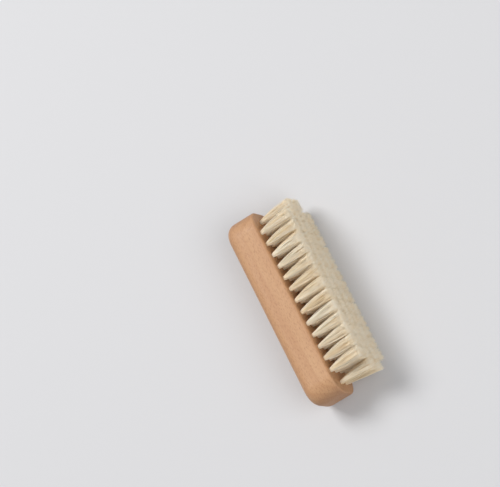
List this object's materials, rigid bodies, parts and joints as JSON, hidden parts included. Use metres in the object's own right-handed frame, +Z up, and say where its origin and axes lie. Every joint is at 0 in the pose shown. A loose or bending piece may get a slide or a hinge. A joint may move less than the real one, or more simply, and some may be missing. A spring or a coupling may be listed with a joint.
{
  "type": "nail brush",
  "caption": "Nail brush with a rounded beech block handle and splayed rows of natural bristle tufts, each folded over a wire staple in its own drilled hole; it lies on its side.",
  "frame": {"origin": "middle of the brush's footprint, on the surface that it lies on", "axes": "+X along the block, +Y the way the bristles point along the surface, +Z up; the brush lies on its side, as pictured"},
  "size_m": [0.095, 0.0364, 0.0312],
  "materials": {
    "beech": "fine sanded, oiled, satin",
    "bristle": "bleached natural bristle, matt with a slight sheen",
    "staple_wire": "drawn wire"
  },
  "bodies": {
    "root": {"handle": "beech", "tuft_a_01": "bristle", "tuft_a_02": "bristle", "tuft_a_03": "bristle", "tuft_a_04": "bristle", "tuft_a_05": "bristle", "tuft_a_06": "bristle", "tuft_a_07": "bristle", "tuft_a_08": "bristle", "tuft_a_09": "bristle", "tuft_a_10": "bristle", "tuft_a_11": "bristle", "tuft_a_12": "bristle", "tuft_a_13": "bristle", "tuft_b_01": "bristle", "tuft_b_02": "bristle", "tuft_b_03": "bristle", "tuft_b_04": "bristle", "tuft_b_05": "bristle", "tuft_b_06": "bristle", "tuft_b_07": "bristle", "tuft_b_08": "bristle", "tuft_b_09": "bristle", "tuft_b_10": "bristle", "tuft_b_11": "bristle", "tuft_b_12": "bristle", "tuft_b_13": "bristle", "tuft_b_14": "bristle", "tuft_b_15": "bristle", "tuft_c_01": "bristle", "tuft_c_02": "bristle", "tuft_c_03": "bristle", "tuft_c_04": "bristle", "tuft_c_05": "bristle", "tuft_c_06": "bristle", "tuft_c_07": "bristle", "tuft_c_08": "bristle", "tuft_c_09": "bristle", "tuft_c_10": "bristle", "tuft_c_11": "bristle", "tuft_c_12": "bristle", "tuft_c_13": "bristle", "tuft_c_14": "bristle", "tuft_c_15": "bristle", "tuft_d_01": "bristle", "tuft_d_02": "bristle", "tuft_d_03": "bristle", "tuft_d_04": "bristle", "tuft_d_05": "bristle", "tuft_d_06": "bristle", "tuft_d_07": "bristle", "tuft_d_08": "bristle", "tuft_d_09": "bristle", "tuft_d_10": "bristle", "tuft_d_11": "bristle", "tuft_d_12": "bristle", "tuft_d_13": "bristle", "anchor_staples": "staple_wire"}
  },
  "joints": []
}
